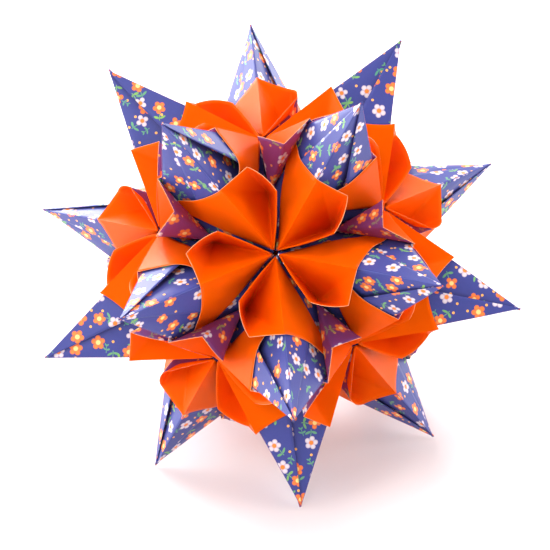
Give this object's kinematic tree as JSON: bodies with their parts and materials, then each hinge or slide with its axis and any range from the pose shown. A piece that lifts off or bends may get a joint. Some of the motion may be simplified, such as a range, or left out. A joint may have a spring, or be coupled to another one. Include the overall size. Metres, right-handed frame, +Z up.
{
  "type": "kusudama paper ball",
  "caption": "Folded paper ball of interlocking modules: open five-petal flowers with cupped petals, and sharp three-sided printed spikes between them.",
  "frame": {"origin": "on the table surface under the ball's centre, between the five spike tips it stands on", "axes": "+Z up through the top flower, -Y towards the viewer's side where the front flower faces out and up, +X to the viewer's right"},
  "size_m": [0.1114, 0.117, 0.0948],
  "materials": {
    "duo_paper": "matt paper, small floral print outside, plain orange reverse"
  },
  "bodies": {
    "root": {"bottom_module_1": "duo_paper", "bottom_module_2": "duo_paper", "bottom_module_3": "duo_paper", "bottom_module_4": "duo_paper", "bottom_module_5": "duo_paper", "lower_ring_module_1": "duo_paper", "lower_ring_module_2": "duo_paper", "lower_ring_module_3": "duo_paper", "lower_ring_module_4": "duo_paper", "lower_ring_module_5": "duo_paper", "middle_module_1": "duo_paper", "middle_module_10": "duo_paper", "middle_module_2": "duo_paper", "middle_module_3": "duo_paper", "middle_module_4": "duo_paper", "middle_module_5": "duo_paper", "middle_module_6": "duo_paper", "middle_module_7": "duo_paper", "middle_module_8": "duo_paper", "middle_module_9": "duo_paper", "top_module_1": "duo_paper", "top_module_2": "duo_paper", "top_module_3": "duo_paper", "top_module_4": "duo_paper", "top_module_5": "duo_paper", "upper_ring_module_1": "duo_paper", "upper_ring_module_2": "duo_paper", "upper_ring_module_3": "duo_paper", "upper_ring_module_4": "duo_paper", "upper_ring_module_5": "duo_paper"}
  },
  "joints": []
}
